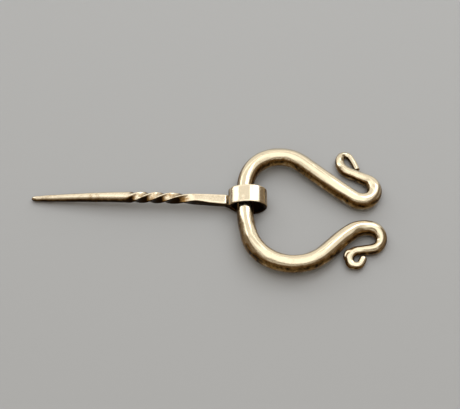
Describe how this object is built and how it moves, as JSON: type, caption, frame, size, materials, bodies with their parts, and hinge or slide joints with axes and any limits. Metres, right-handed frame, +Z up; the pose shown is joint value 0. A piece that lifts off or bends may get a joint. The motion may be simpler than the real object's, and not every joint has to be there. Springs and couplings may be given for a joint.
{
  "type": "omega brooch",
  "caption": "Ancient open-hoop brooch: a round rod bent into an omega with curled ends, and a swinging pin with a twisted shank and rolled collar.",
  "frame": {"origin": "the middle of the brooch's box, on the surface it lies on", "axes": "+X from the pin's point to the hoop's curled ends, +Z up out of the surface the brooch lies on"},
  "size_m": [0.0878, 0.037, 0.0061],
  "materials": {
    "hoop_bronze": "cast bronze, polished on top and dark in its pits",
    "pin_bronze": "hammered bronze, softly polished"
  },
  "bodies": {
    "hoop": {"hoop": "hoop_bronze"},
    "pin": {"pin": "pin_bronze"}
  },
  "joints": [
    {"name": "pin_swing", "type": "hinge", "parent": "hoop", "child": "pin", "pos_m": [0.00933, 0.00248, 0.00305], "axis": [0, 1, 0], "range_deg": [-168, 173]}
  ]
}
